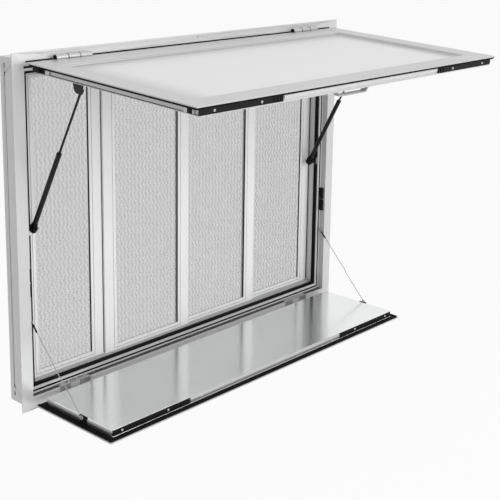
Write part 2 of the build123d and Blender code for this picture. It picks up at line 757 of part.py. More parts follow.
print("awning axis", awning_axis, "shelf axis", shelf_axis)
print("strut bracket", tuple(bracket_point), "tilt", degrees(strut_tilt), "reach", open_reach, strut_closed_reach)
cable_tilt = degrees(atan2(-run_y, -run_z))
print("cable point", tuple(cable_point), "tilt", cable_tilt, "halves", upper_length, lower_length)
print("awning ends", awning_start, awning_end, "shelf", shelf_start, shelf_end)
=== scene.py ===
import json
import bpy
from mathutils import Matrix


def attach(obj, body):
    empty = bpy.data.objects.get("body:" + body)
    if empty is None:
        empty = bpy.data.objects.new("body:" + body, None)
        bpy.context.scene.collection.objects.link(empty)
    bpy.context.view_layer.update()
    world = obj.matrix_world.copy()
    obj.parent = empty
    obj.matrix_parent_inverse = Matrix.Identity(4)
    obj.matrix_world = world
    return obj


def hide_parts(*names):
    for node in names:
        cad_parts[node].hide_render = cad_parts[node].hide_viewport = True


bl_info = {
    "name": "Concession Window",
    "version": (1, 0, 0),
    "blender": (4, 5, 0),
    "location": "View3D > Sidebar > Window",
    "description": "Dresses the packed concession window and sets up its studio",
    "category": "Add Mesh",
}

from math import atan2, cos, pi, radians, sin

import bmesh
import bpy
import numpy as np
from bpy.props import FloatProperty, FloatVectorProperty, IntProperty, PointerProperty
from mathutils import Matrix

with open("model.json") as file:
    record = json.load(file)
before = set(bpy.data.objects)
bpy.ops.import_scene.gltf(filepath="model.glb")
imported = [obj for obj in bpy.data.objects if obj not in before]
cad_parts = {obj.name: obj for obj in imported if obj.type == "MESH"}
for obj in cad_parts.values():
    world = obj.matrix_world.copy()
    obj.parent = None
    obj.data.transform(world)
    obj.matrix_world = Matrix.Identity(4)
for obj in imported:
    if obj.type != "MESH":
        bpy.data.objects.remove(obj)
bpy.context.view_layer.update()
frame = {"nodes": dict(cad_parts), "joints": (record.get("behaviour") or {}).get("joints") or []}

# Lengths below are in millimetres, as in the part's source, and become metres in Shell.finish
JOINTS = {joint["name"]: joint for joint in frame["joints"]}
ACROSS, AWAY, UP = np.eye(3)
ROOM = np.array([(0, 0, 0), ACROSS, AWAY, UP])


def millimetres(point):
    return np.array(point, float) * 1000


def joint_place(name):
    return millimetres(JOINTS[name]["pos_m"])


def node_points(*names):
    """The corners of some CAD nodes' meshes, as one array."""
    found = []
    for name in names:
        vertices = frame["nodes"][name].data.vertices
        flat = np.empty(3 * len(vertices))
        vertices.foreach_get("co", flat)
        found.append(millimetres(flat).reshape(-1, 3))
    return np.concatenate(found)


def extent(axes, *names):
    """Lowest and highest corner of some CAD nodes along a set of axes."""
    local = (node_points(*names) - axes[0]) @ axes[1:].T
    return local.min(axis=0), local.max(axis=0)


class Flap:
    """A flap's axes and its nodes' extents: x across, y from the hinge pin along it, z inward."""

    def __init__(self, name, axes):
        self.name = name
        self.axes = np.array([joint_place(f"{name}_hinge"), *axes])
        self.tray = extent(self.axes, f"{name}_tray")
        self.seal = extent(self.axes, f"{name}_seal")
        self.strips = extent(self.axes, f"{name}_end_strips")
        self.channel = extent(self.axes, f"{name}_front_channel")

    def at(self, points):
        return placed(points, self.axes)

    def plane(self, place, across, up):
        """Axes for a flat path on the flap: origin, two directions and their cross product."""
        across, up = np.array(across, float), np.array(up, float)
        turn = self.axes[1:]
        return np.array([self.at(place), across @ turn, up @ turn, np.cross(across, up) @ turn])


# Shapes


def placed(points, axes):
    """Local points carried into the window's frame: origin plus each coordinate times its axis."""
    return axes[0] + np.asarray(points, float) @ axes[1:]


def unit(vectors):
    return vectors / np.linalg.norm(vectors, axis=-1, keepdims=True)


def room_plane(place, across, up):
    """Axes for a flat path in the window's frame: origin, two directions and their product."""
    return np.array([place, across, up, np.cross(across, up)], float)


def front_plane(x, y, z):
    """Axes for a path that runs across and up the front, with its height outdoors."""
    return room_plane((x, y, z), ACROSS, UP)


def tube(path, radius, sides):
    """Circles across each path: centre plus radius times (cosine, sine) of the turn."""
    path = np.asarray(path, float)
    along = unit(np.gradient(path, axis=-2))
    whole = path[..., -1:, :] - path[..., :1, :]
    across = np.eye(3)[np.argmin(np.abs(whole), axis=-1)]
    side = unit(np.cross(along, np.broadcast_to(across, along.shape)))
    up = np.cross(along, side)
    turn = np.linspace(0, 2 * pi, sides, endpoint=False)[:, None]
    ring = np.cos(turn) * side[..., None, :] + np.sin(turn) * up[..., None, :]
    return path[..., None, :] + radius * ring


def carried(profile, path, axes, closed=False):
    """A profile carried along a flat path with mitred corners: across the path, then up."""
    path = np.asarray(path, float)
    profile = np.asarray(profile, float)
    step = np.diff(path, axis=0, append=path[:1])
    if not closed:
        step[-1] = step[-2]
    step = unit(step)
    normal = np.stack([-step[:, 1], step[:, 0]], axis=-1)
    before = np.roll(normal, 1, axis=0)
    if not closed:
        before[0] = normal[0]
    mitre = (normal + before) / (1 + np.sum(normal * before, axis=-1, keepdims=True))
    flat = path[:, None, :] + mitre[:, None, :] * profile[None, :, :1]
    height = np.broadcast_to(profile[None, :, 1:], flat.shape[:2] + (1,))
    return placed(np.concatenate([flat, height], axis=-1), axes)


def turned(profile, centres, axis, sides, hexes):
    """A profile of radius and height turned about an axis, once at each centre. Rows named in
    hexes follow a hexagon: radius divided by the cosine of the angle from its nearest flat."""
    axis = unit(np.asarray(axis, float))
    side = unit(np.cross(axis, np.eye(3)[np.argmin(np.abs(axis))]))
    up = np.cross(axis, side)
    profile = np.asarray(profile, float)
    turn = np.linspace(0, 2 * pi, sides, endpoint=False)[:, None]
    radius = np.repeat(profile[None, :, 0], sides, axis=0)
    flat = np.cos((turn[:, 0] + pi / 6) % (pi / 3) - pi / 6)
    for row in hexes:
        radius[:, row] /= flat
    ring = np.cos(turn) * side + np.sin(turn) * up
    local = radius[..., None] * ring[:, None, :] + profile[None, :, 1:] * axis
    return np.asarray(centres, float).reshape(-1, 1, 1, 3) + local


def rounded_box(centres, size, edge, axes):
    """Boxes with round edges: a ball of the edge radius, its eight parts moved to the corners."""
    quarter = np.linspace(0, pi / 2, 4)
    turn = np.concatenate([quarter + k * pi / 2 for k in range(4)])
    lean = np.concatenate([quarter, quarter + pi / 2])[:, None]
    ball = [np.sin(lean) * np.cos(turn), np.sin(lean) * np.sin(turn), np.cos(lean)]
    signs = [np.repeat([1, -1, -1, 1], 4), np.repeat([1, 1, -1, -1], 4),
             np.repeat([1, -1], 4)[:, None]]
    ball, signs = (np.stack(np.broadcast_arrays(*parts), -1) for parts in (ball, signs))
    local = edge * ball + (np.asarray(size, float) / 2 - edge) * signs
    return placed(np.asarray(centres, float).reshape(-1, 1, 1, 3) + local, axes)


def round_profile(width, height, edge, points=4):
    """A rectangle with round corners, from minus half its width and from height 0."""
    quarter = np.linspace(0, pi / 2, points)
    turn = np.concatenate([quarter + k * pi / 2 for k in range(4)])
    right = np.repeat([1, -1, -1, 1], points) * (width / 2 - edge)
    high = height / 2 + np.repeat([1, 1, -1, -1], points) * (height / 2 - edge)
    return np.stack([right + edge * np.cos(turn), high + edge * np.sin(turn)], -1)


def dome_profile(width, height, points=9):
    """Half an ellipse on a flat foot: width times cosine and height times sine."""
    turn = np.linspace(0, pi, points)
    return np.stack([width / 2 * np.cos(turn), height * np.sin(turn)], -1)


def smooth_rise(distance, start, end):
    """From 0 at the start to 1 at the end: three t squared less two t cubed."""
    part = np.clip((distance - start) / (end - start), 0, 1)
    return part * part * (3 - 2 * part)


def loop(low, high, inset):
    """The four corners of a rectangle, pulled in by the inset."""
    (left, bottom), (right, top) = np.add(low, inset), np.subtract(high, inset)
    return [(left, bottom), (right, bottom), (right, top), (left, top)]


class Shell:
    """Gathers grids of points and makes one closed, outward-facing mesh object of them."""

    def __init__(self):
        self.points, self.faces, self.count = [], [], 0

    def grid(self, points, around=False, along=False, caps=False):
        """Quads between neighbours of one grid or many: around joins the last column to the
        first, along the last row to the first, and caps puts a face on the first and last row."""
        rows, columns = points.shape[-3:-1]
        index = self.count + np.arange(points[..., 0].size).reshape(-1, rows, columns)
        self.points.append(points.reshape(-1, 3))
        self.count += index.size
        if caps:
            self.faces += index[:, 0].tolist() + index[:, -1].tolist()
        if along:
            index = np.concatenate([index, index[:, :1]], axis=1)
        if around:
            index = np.concatenate([index, index[:, :, :1]], axis=2)
        corners = (index[:, :-1, :-1], index[:, 1:, :-1], index[:, 1:, 1:], index[:, :-1, 1:])
        self.faces += np.stack(corners, axis=-1).reshape(-1, 4).tolist()
        return self

    def bar(self, profile, path, axes):
        """A closed profile carried along an open path, with a face at each end."""
        return self.grid(carried(profile, path, axes), around=True, caps=True)

    def ring(self, profile, path, axes):
        """A closed profile carried round a closed path."""
        return self.grid(carried(profile, path, axes, True), around=True, along=True)

    def boxes(self, centres, size, edge, axes):
        """A box with round edges at each centre."""
        return self.grid(rounded_box(centres, size, edge, axes), around=True, caps=True)

    def spin(self, profile, centres, axis, sides=28, closed=False, hexes=()):
        """A profile turned about an axis at each centre. A closed one encloses the axis as a ring,
        an open one starts and ends on it."""
        return self.grid(turned(profile, centres, axis, sides, hexes), around=closed, along=True)

    def finish(self, name, finish, slot, body, replaces=(), sharp=35):
        """One object in metres at the origin, with doubled points merged, riding on its body."""
        data = bpy.data.meshes.new(name)
        data.from_pydata((np.concatenate(self.points) / 1000).tolist(), [], self.faces)
        mesh = bmesh.new()
        mesh.from_mesh(data)
        bmesh.ops.remove_doubles(mesh, verts=mesh.verts, dist=1e-6)
        bmesh.ops.dissolve_degenerate(mesh, edges=mesh.edges, dist=1e-7)
        bmesh.ops.recalc_face_normals(mesh, faces=mesh.faces)
        mesh.to_mesh(data)
        mesh.free()
        data.shade_smooth()
        data.set_sharp_from_angle(angle=radians(sharp))
        piece = bpy.data.objects.new(name, data)
        bpy.context.scene.collection.objects.link(piece)
        data.materials.append(FINISHES[finish])
        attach(piece, body)
        if replaces:
            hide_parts(*replaces)


# The window's own places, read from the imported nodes

lift = radians(JOINTS["awning_hinge"]["range_deg"][1])
AWNING = Flap("awning", [ACROSS, (0, -sin(lift), -cos(lift)), (0, cos(lift), -sin(lift))])
SHELF = Flap("shelf", [-ACROSS, -AWAY, UP])
FLANGE_LOW, FLANGE_HIGH = extent(ROOM, "frame_sill", "frame_header")
KEEPER_LOW, KEEPER_HIGH = extent(ROOM, "latch_keepers")
REVEAL = KEEPER_HIGH[0]  # half the width between the jambs
LEDGE = FLANGE_LOW[2] + FLANGE_HIGH[0] - REVEAL  # the top of the sill
FACE = FLANGE_LOW[1]  # the front of the wall flange


# Finishes


def add_node(tree, kind, inputs, **settings):
    """A new node in a tree. Its inputs are given values, or links where a socket is given."""
    node = tree.nodes.new(kind)
    for key, value in settings.items():
        setattr(node, key, value)
    for key, value in inputs.items():
        if isinstance(value, bpy.types.NodeSocket):
            tree.links.new(value, node.inputs[key])
        else:
            node.inputs[key].default_value = value
    return node


class Finish:
    """A Principled material whose patterns read Object coordinates, built up step by step."""

    def __init__(self, name, colour, metallic, roughness, **sockets):
        self.material = bpy.data.materials.new(name)
        self.material.use_nodes = True
        self.tree = self.material.node_tree
        self.shader = self.tree.nodes["Principled BSDF"]
        self.place = self.tree.nodes.new("ShaderNodeTexCoord").outputs["Object"]
        self.colour = colour
        self.normal = None
        self.shader.inputs["Base Color"].default_value = (*colour, 1)
        self.shader.inputs["Metallic"].default_value = metallic
        self.shader.inputs["Roughness"].default_value = roughness
        for key, value in sockets.items():
            self.shader.inputs[key.replace("_", " ")].default_value = value
        FINISHES[name] = self.material

    def add(self, kind, inputs, **settings):
        return add_node(self.tree, kind, inputs, **settings)

    def sum(self, kind, first, second=0.0):
        """One arithmetic step on two values."""
        return self.add("ShaderNodeMath", {0: first, 1: second}, operation=kind).outputs[0]

    def axis(self, name):
        """The place along X, Y or Z in metres."""
        return self.add("ShaderNodeSeparateXYZ", {0: self.place}).outputs[name]

    def noise(self, scale, stretch=(1, 1, 1), detail=3.0, roughness=0.55):
        """Noise with features of about one over scale metres, finer on stretched axes."""
        place = self.add("ShaderNodeMapping", {"Vector": self.place, "Scale": stretch}).outputs[0]
        node = self.add("ShaderNodeTexNoise", {
            "Vector": place, "Scale": scale, "Detail": detail, "Roughness": roughness,
        })
        return node.outputs["Fac"]

    def spread(self, value, low, high, start=0.3, end=0.7, kind="LINEAR"):
        """The value's range from start to end mapped to low..high."""
        node = self.add("ShaderNodeMapRange", {
            "Value": value, "From Min": start, "From Max": end, "To Min": low, "To Max": high,
        }, interpolation_type=kind)
        return node.outputs[0]

    def shade(self, value, low, high):
        """The colour multiplied by low..high as the value goes from dark to light."""
        dark = [channel * low for channel in self.colour] + [1]
        light = [min(channel * high, 1) for channel in self.colour] + [1]
        part = self.spread(value, 0, 1)
        mix = self.add("ShaderNodeMix", {0: part, 6: dark, 7: light}, data_type="RGBA")
        self.tree.links.new(mix.outputs[2], self.shader.inputs["Base Color"])
        return self

    def gloss(self, value, low, high):
        self.tree.links.new(self.spread(value, low, high), self.shader.inputs["Roughness"])
        return self

    def relief(self, value, height):
        """A bump of the given height in millimetres, on top of what is there already."""
        inputs = {"Height": value, "Strength": 1.0, "Distance": height / 1000}
        if self.normal is not None:
            inputs["Normal"] = self.normal
        self.normal = self.add("ShaderNodeBump", inputs).outputs[0]
        self.tree.links.new(self.normal, self.shader.inputs["Normal"])
        return self


def brushed_metal(name, colour, metallic, stretch, low=0.3, high=0.42, relief=0.012):
    """Metal with fine lines drawn out along one axis and a slow change of tone."""
    metal = Finish(name, colour, metallic, 0.36)
    lines = metal.noise(14, stretch, 4.0)
    metal.shade(metal.noise(5), 0.97, 1.02).gloss(lines, low, high).relief(lines, relief)


def dark_solid(name, colour, grain, low, high, relief, **sockets):
    """A black finish with a fine grain in its gloss and its surface."""
    solid = Finish(name, colour, 0.0, (low + high) / 2, **sockets)
    texture = solid.noise(grain, detail=3.0)
    solid.shade(solid.noise(25), 0.85, 1.3).gloss(texture, low, high).relief(texture, relief)


# How a brushed surface's noise is squeezed along X, Y and Z
LINES_ALONG, LINES_UP, LINES_FINE = (1, 90, 90), (90, 90, 1), (1, 260, 260)
# Where painted shade darkens the awning's sheet, in metres: outwards along X, and towards the wall
# along Y
SHEET_SHADE_SIDE, SHEET_SHADE_END = (0.435, 0.527), (-0.16, -0.075)
# The screens' wavering stripes in metres: their distance along X, and their sway along Z
STRIPE_PITCH, SWAY_PITCH, SWAY = 0.0135, 0.024, 1.2
# Heights in metres between which the painted reflection on a rolled side of the shelf goes from
# dark to light
ROLL_REFLECTION_DARK, ROLL_REFLECTION_LIGHT = 0.014, 0.03


def make_finishes(colours):
    """Every material of the window."""
    brushed_metal("frame_along", colours.frame, 0.25, LINES_ALONG)
    brushed_metal("frame_upright", colours.frame, 0.25, LINES_UP)
    brushed_metal("border_metal", colours.border, 0.4, LINES_ALONG)
    brushed_metal("sill_metal", colours.sill, 0.35, LINES_ALONG)
    brushed_metal("bright_steel", colours.steel, 0.75, LINES_ALONG, 0.24, 0.4)
    sheet = Finish("awning_sheet", colours.awning, 0.3, 0.3)
    # Painted shade: the sheet's colour darkens towards its sides and towards the wall
    side = sheet.spread(sheet.sum("ABSOLUTE", sheet.axis("X")), 1, 0, *SHEET_SHADE_SIDE, "SMOOTHSTEP")
    far = sheet.spread(sheet.axis("Y"), 1, 0, *SHEET_SHADE_END, "SMOOTHSTEP")
    painted_shade = sheet.spread(sheet.sum("MULTIPLY", side, far), 0.3, 0.7, 0, 1)
    sheet.shade(painted_shade, 0.72, 1.0)
    counter = Finish("counter_metal", colours.counter, 0.9, 0.2)
    brushed = counter.noise(9, LINES_FINE, 5.0)
    counter.shade(counter.noise(3), 0.97, 1.03).gloss(brushed, 0.12, 0.24).relief(brushed, 0.006)
    counter.relief(counter.noise(4, detail=1.0), 0.3)
    paint = Finish("screen_paint", colours.screen, 0.0, 0.38)
    peel = paint.noise(60)
    paint.shade(paint.noise(7), 0.98, 1.015).gloss(peel, 0.33, 0.43)
    paint.relief(paint.noise(250), 0.006)
    wire = Finish("woven_wire", colours.wire, 0.1, 0.5)
    across = wire.sum("MULTIPLY", wire.axis("X"), 2 * pi / STRIPE_PITCH)
    sway = wire.sum("SINE", wire.sum("MULTIPLY", wire.axis("Z"), 2 * pi / SWAY_PITCH))
    wave = wire.sum("SINE", wire.sum("ADD", across, wire.sum("MULTIPLY", sway, SWAY)))
    wire.shade(wire.spread(wave, 0.3, 0.7, -1, 1), 0.2, 1.8)
    dark_solid("black_rubber", colours.black, 700, 0.6, 0.8, 0.04, Specular_IOR_Level=0.08)
    dark_solid("black_plastic", colours.black, 1800, 0.42, 0.56, 0.03, Specular_IOR_Level=0.15)
    dark_solid("black_enamel", colours.black, 500, 0.26, 0.4, 0.01,
               Coat_Weight=0.08, Coat_Roughness=0.15, Specular_IOR_Level=0.2)
    strand = Finish("wire_rope", colours.rope, 0.8, 0.34)
    strand.shade(strand.noise(160), 0.8, 1.1).gloss(strand.noise(400), 0.28, 0.42)
    # Painted reflection: the rolled metal's colour goes from dark low down to light higher up
    roll = Finish("rolled_metal", colours.counter, 0.3, 0.36)
    roll.shade(roll.spread(roll.axis("Z"), 0.3, 0.7, ROLL_REFLECTION_DARK, ROLL_REFLECTION_LIGHT), 0.1, 0.85)
    cord = Finish("grey_spline", colours.spline, 0.0, 0.6)
    cord.shade(cord.noise(80), 0.9, 1.1).relief(cord.noise(900), 0.03)


# Sizes and colours a user would change


def length(name, text, default, low=0.05, high=500.0):
    return FloatProperty(name=name, description=text, default=default, min=low, max=high)


def tone(name, text, default):
    return FloatVectorProperty(
        name=name, description=text, default=default, subtype="COLOR", min=0, max=1)


class WindowSizes(bpy.types.PropertyGroup):
    wire_pitch: length("Wire pitch", "Distance between the screen's wires, in mm", 1.4)
    wire_width: length("Wire width", "Diameter of one wire of the screens, in mm", 0.39)
    screw_head: length("Screw head", "Diameter of the flaps' pan heads, in mm", 7.0)
    seal_width: length("Seal width", "Width of the flaps' bulb seals, in mm", 3.0)
    seal_height: length("Seal height", "Height of the flaps' bulb seals, in mm", 3.8)
    panel_dip: length("Panel dip", "Depth of the dished rim of the awning's sheet, in mm", 3.6)
    rope_radius: length("Rope radius", "Radius of the shelf's cables, in mm", 1.2)
    rope_lay: length("Rope lay", "Length of one turn of the cables' strands, in mm", 11.0)
    rope_strands: IntProperty(
        name="Rope strands", description="Outer strands of a cable", default=6, min=3, max=12)
    floor_drop: length("Floor drop", "Height of the sill above the floor, in mm", 950.0, 0, 3000)


class WindowColours(bpy.types.PropertyGroup):
    frame: tone("Frame", "Anodised frame", (0.68, 0.68, 0.68))
    border: tone("Border", "Anodised border of the awning", (0.57, 0.57, 0.57))
    sill: tone("Sill", "Ribs of the sill", (0.6, 0.6, 0.6))
    awning: tone("Awning", "Awning sheet", (0.76, 0.77, 0.76))
    counter: tone("Counter", "Polished shelf sheet", (0.82, 0.83, 0.83))
    screen: tone("Screens", "Painted screen frames", (0.87, 0.87, 0.87))
    wire: tone("Wire", "Screen wires", (0.2, 0.2, 0.2))
    black: tone("Black", "Seals, strips, struts and keepers", (0.006, 0.006, 0.006))
    steel: tone("Steel", "Hinges, handle and clips", (0.52, 0.52, 0.52))
    rope: tone("Rope", "Shelf cables", (0.4, 0.4, 0.4))
    spline: tone("Spline", "Cord that holds the mesh in its frame", (0.3, 0.3, 0.3))


FINISHES = {}  # the materials by name, filled by Finish
SCREENS = tuple(f"screen_frame_{number}" for number in range(1, 5))
DRESS = {
    "frame_along": ("frame_header", "bottom_track", "top_track", "awning_tray",
                    "awning_front_channel", "shelf_front_channel", "shelf_skin", "frame_sill"),
    "frame_upright": ("left_jamb", "right_jamb"),
    "border_metal": ("awning_border",),
    "awning_sheet": ("awning_panel",),
    "counter_metal": ("shelf_tray",),
    "screen_paint": SCREENS,
    "black_rubber": ("frame_seal", "awning_seal", "shelf_seal"),
    "black_plastic": ("latch_keepers", "awning_end_strips", "shelf_end_strips", "cable_brackets"),
    "black_enamel": ("left_strut_cylinder", "right_strut_cylinder", "left_strut_rod",
                     "right_strut_rod", "strut_brackets", "strut_pivots"),
    "bright_steel": ("awning_hinges_fixed", "awning_hinge_leaves", "shelf_hinges_fixed",
                     "shelf_hinge_leaves", "cable_anchors", "awning_clips"),
}
# Widths of the broken edges, in millimetres
EDGES = {
    0.4: ("awning_front_channel", "shelf_front_channel", "strut_brackets", "cable_brackets"),
    0.5: ("awning_border", "shelf_skin", *SCREENS, "frame_header", "frame_sill",
          "left_jamb", "right_jamb"),
    0.6: ("awning_tray", "awning_seal", "shelf_seal", "strut_pivots"),
    0.8: ("latch_keepers", "shelf_end_strips", "awning_clips"),
    1.0: ("shelf_tray",),
    1.2: ("frame_seal",),
}


class WINDOW_OT_finishes(bpy.types.Operator):
    """Makes the materials, gives each CAD node its own and breaks the nodes' sharp edges"""

    bl_idname = "window.finishes"
    bl_label = "Finishes"

    def execute(self, context):
        make_finishes(context.scene.window_colours)
        for finish, names in DRESS.items():
            for name in names:
                node = frame["nodes"][name]
                node.data.materials.clear()
                node.data.materials.append(FINISHES[finish])
        for width, names in EDGES.items():
            for name in names:
                node = frame["nodes"][name]
                node.modifiers.new("Join", "WELD").merge_threshold = 1e-6
                bevel = node.modifiers.new("Edges", "BEVEL")
                bevel.width = width / 1000
                bevel.segments = 2
                bevel.limit_method = "ANGLE"
                bevel.angle_limit = radians(50)
        return {"FINISHED"}


class WINDOW_OT_screens(bpy.types.Operator):
    """Weaves the screens' wires and lays their splines and black brush lines, which are also
    painted shadow in the gaps at the mesh's and frames' edges
    """

    bl_idname = "window.screens"
    bl_label = "Screens"

    def execute(self, context):
        sizes = context.scene.window_sizes
        half = sizes.wire_width / 2
        groove = 9.75  # from the mesh's edge out to its spline
        brush, outer_brush = (3.8, 2.2, 0.7), (2.4, 1.6, 0.5)  # width, height and edge radius
        splines, brush_and_shadow_lines = Shell(), Shell()
        for number in range(1, 5):
            low, high = extent(ROOM, f"screen_mesh_{number}")
            frame_low, frame_high = extent(ROOM, f"screen_frame_{number}")
            front = frame_low[1]
            middle = (low[1] + high[1]) / 2
            weave = Shell()
            for axis, depth in ((0, middle - half), (2, middle + half)):
                across = np.arange(low[axis] + sizes.wire_pitch / 2, high[axis], sizes.wire_pitch)
                path = np.empty((len(across), 2, 3))
                path[..., axis] = across[:, None]
                path[..., 1] = depth
                path[..., 2 - axis] = low[2 - axis], high[2 - axis]
                weave.grid(tube(path, half, 4), around=True, caps=True)
            weave.finish(f"screen_weave_{number}", "woven_wire", "screen_mesh", "root",
                         [f"screen_mesh_{number}"])
            rim = loop(low[[0, 2]], high[[0, 2]], -groove)
            splines.ring(dome_profile(1.4, 0.9), rim, front_plane(0, front + 1, 0))
            # Black strips on the edges: pile brushes, dark also as painted shadow of the gaps
            # beside the stiles
            stile = front_plane(high[0] - brush[0] / 2, front + 3, 0)
            brush_and_shadow_lines.bar(round_profile(*brush), [(0, low[2]), (0, high[2])], stile)
            if number in (1, 4):
                edge = front_plane(frame_high[0] - outer_brush[0] / 2, front + 0.3, 0)
                path = [(0, frame_low[2] + 8), (0, frame_high[2] - 8)]
                brush_and_shadow_lines.bar(round_profile(*outer_brush), path, edge)
        splines.finish("screen_splines", "grey_spline", "screen_paint", "root")
        brush_and_shadow_lines.finish("screen_brush_and_shadow_lines", "black_rubber", "black_rubber", "root")
        return {"FINISHED"}


def screw_heads(shell, centres, axis, head):
    """Pan heads with a hexagon socket, standing on each centre: a profile times half the head."""
    profile = np.array([(0, 0), (1, 0), (1, 0.25), (0.93, 0.45), (0.7, 0.62), (0.48, 0.68),
                        (0.4, 0.66), (0.4, 0.25), (0, 0.25)])
    shell.spin(profile * head / 2, centres, axis, 24, hexes=(6, 7))


def both(*values):
    """Each value on the left and on the right."""
    return [side * value for side in (-1, 1) for value in values]


class WINDOW_OT_flap_seals(bpy.types.Operator):
    """Adds the bulb seals along the open sides of the awning and the shelf"""

    bl_idname = "window.flap_seals"
    bl_label = "Flap seals"

    def execute(self, context):
        sizes = context.scene.window_sizes
        for flap in (AWNING, SHELF):
            low, high = flap.seal
            inset = sizes.seal_width / 2
            edge, start, end = high[0] - inset, low[1] + inset, high[1] - inset
            path = [(-edge, start), (-edge, end), (edge, end), (edge, start)]
            plane = flap.plane((0, 0, high[2] - 0.3), ACROSS, AWAY)
            bulb = Shell().bar(dome_profile(sizes.seal_width, sizes.seal_height), path, plane)
            bulb.finish(f"{flap.name}_bulb_seal", "black_rubber", "black_rubber", flap.name)
        return {"FINISHED"}


def awning_front_strips():
    """The awning's two front strips: their section, carried from the channel to the corner."""
    low, high = AWNING.strips
    near, top, rib = low[1], AWNING.seal[1][2] + 0.3, AWNING.tray[1][1] + 0.6
    face, foot, proud = high[1], high[2] - 0.3, high[1] + 0.4
    section = [(near, top), (rib, top), (rib, low[2]), (proud, low[2] + 1.2),
               (proud, high[2] - 4), (face, high[2] - 3.5), (face, foot), (near, foot)]
    strips = Shell()
    for side in (-1, 1):
        ends = (side * (AWNING.channel[1][0] + 1), side * high[0])
        rows = np.stack([AWNING.at([(x, y, z) for y, z in section]) for x in ends])
        strips.grid(rows, around=True, caps=True)
    strips.finish("awning_front_strips", "black_plastic", "black_plastic", "awning",
                  ["awning_end_strips"])


def strip_hardware(flap, proud, spots, head):
    """The blocks and the pan heads on a flap's front strips, proud of them by a given depth."""
    low, high = flap.strips
    middle = (low[2] + high[2]) / 2
    blocks, screws = Shell(), Shell()
    centres = [(x, high[1] + proud + 0.6, middle) for x in both(314, 326, 338)]
    blocks.boxes(centres, (8, 2.4, 12.6), 0.8, flap.axes)
    blocks.finish(f"{flap.name}_strip_blocks", "black_plastic", "black_plastic", flap.name)
    centres = [(x, high[1] + proud, middle) for x in spots]
    if flap is SHELF:
        centres += [(x, SHELF.channel[1][1] + 0.4, middle) for x in both(270)]
    screw_heads(screws, flap.at(centres), flap.axes[2], head)
    screws.finish(f"{flap.name}_front_screws", "bright_steel", "bright_steel", flap.name)


def channel_moulding(flap, profile, back, shift, gap):
    """A profile along a flap's front channel, sunk back from its face and shifted towards its
    skin, with a gap at each end."""
    low, high = flap.channel
    place = (0, high[1] - back, (low[2] + high[2]) / 2 - shift)
    line = flap.plane(place, ACROSS, -UP)
    return Shell().bar(profile, [(low[0] + gap, 0), (high[0] - gap, 0)], line)


class WINDOW_OT_flap_fronts(bpy.types.Operator):
    """Makes the flaps' front strips, their blocks and screws, and the mouldings between them"""

    bl_idname = "window.flap_fronts"
    bl_label = "Flap fronts"

    def execute(self, context):
        head = context.scene.window_sizes.screw_head
        awning_front_strips()
        # The screws stand at these places along X
        strip_hardware(AWNING, 0.3, both(381, 529), head)
        strip_hardware(SHELF, -0.1, both(385, 538), head)
        insert = channel_moulding(AWNING, round_profile(6.4, 2.7, 0.6), 3.2, 1.6, 2)
        insert.finish("awning_channel_bar", "frame_along", "frame_aluminium", "awning")
        low, high = SHELF.channel
        dome = dome_profile(high[2] - low[2] - 0.6, 3.6, 13)
        # The rolled metal's finish carries a painted reflection, dark low down
        roll = channel_moulding(SHELF, dome, 3, 0, 0.5)
        roll.finish("shelf_channel_roll", "rolled_metal", "frame_aluminium", "shelf")
        return {"FINISHED"}


class WINDOW_OT_awning_sheet(bpy.types.Operator):
    """Forms the awning's sheet: the dip times a steep smooth rise at its rim less a slow one"""

    bl_idname = "window.awning_sheet"
    bl_label = "Awning sheet"

    def execute(self, context):
        dip = context.scene.window_sizes.panel_dip
        low, high = extent(AWNING.axes, "awning_panel")
        # Distances from the sheet's edge, close together where it bends and even past the last
        steps = np.array([0, 4, 8, 9, 9.5, 10, 10.5, 11, 12, 12.5, 13, 13.5, 14,
                          16, 20, 26, 34, 44, 56, 70, 86, 104, 124, 144, 164, 190])
        rim = steps[-1]
        across, along = (
            np.concatenate([start + steps, np.linspace(start + rim, end - rim, count)[1:-1],
                            (end - steps)[::-1]])
            for start, end, count in ((low[0], high[0], 24), (low[1], high[1], 8))
        )
        x, y = np.meshgrid(across, along, indexing="ij")
        side = np.minimum(x - low[0], high[0] - x)
        end = np.minimum(y - low[1], high[1] - y)
        wall = smooth_rise(side, 12, 13.5) * smooth_rise(end, 9, 10.5)
        swell = smooth_rise(side, 13, 150) * smooth_rise(end, 11, 130)
        z = low[2] + 0.3 + dip * (wall - swell)
        outer, inner = np.stack([x, y, z], -1), np.stack([x, y, z + 1], -1)
        sheet = Shell().grid(AWNING.at(outer)).grid(AWNING.at(inner))
        for cut in (np.s_[0], np.s_[-1], np.s_[:, 0], np.s_[:, -1]):
            sheet.grid(AWNING.at(np.stack([outer[cut], inner[cut]])))
        sheet.finish("awning_sheet", "awning_sheet", "awning_sheet", "awning",
                     ["awning_panel"], 60)
        return {"FINISHED"}


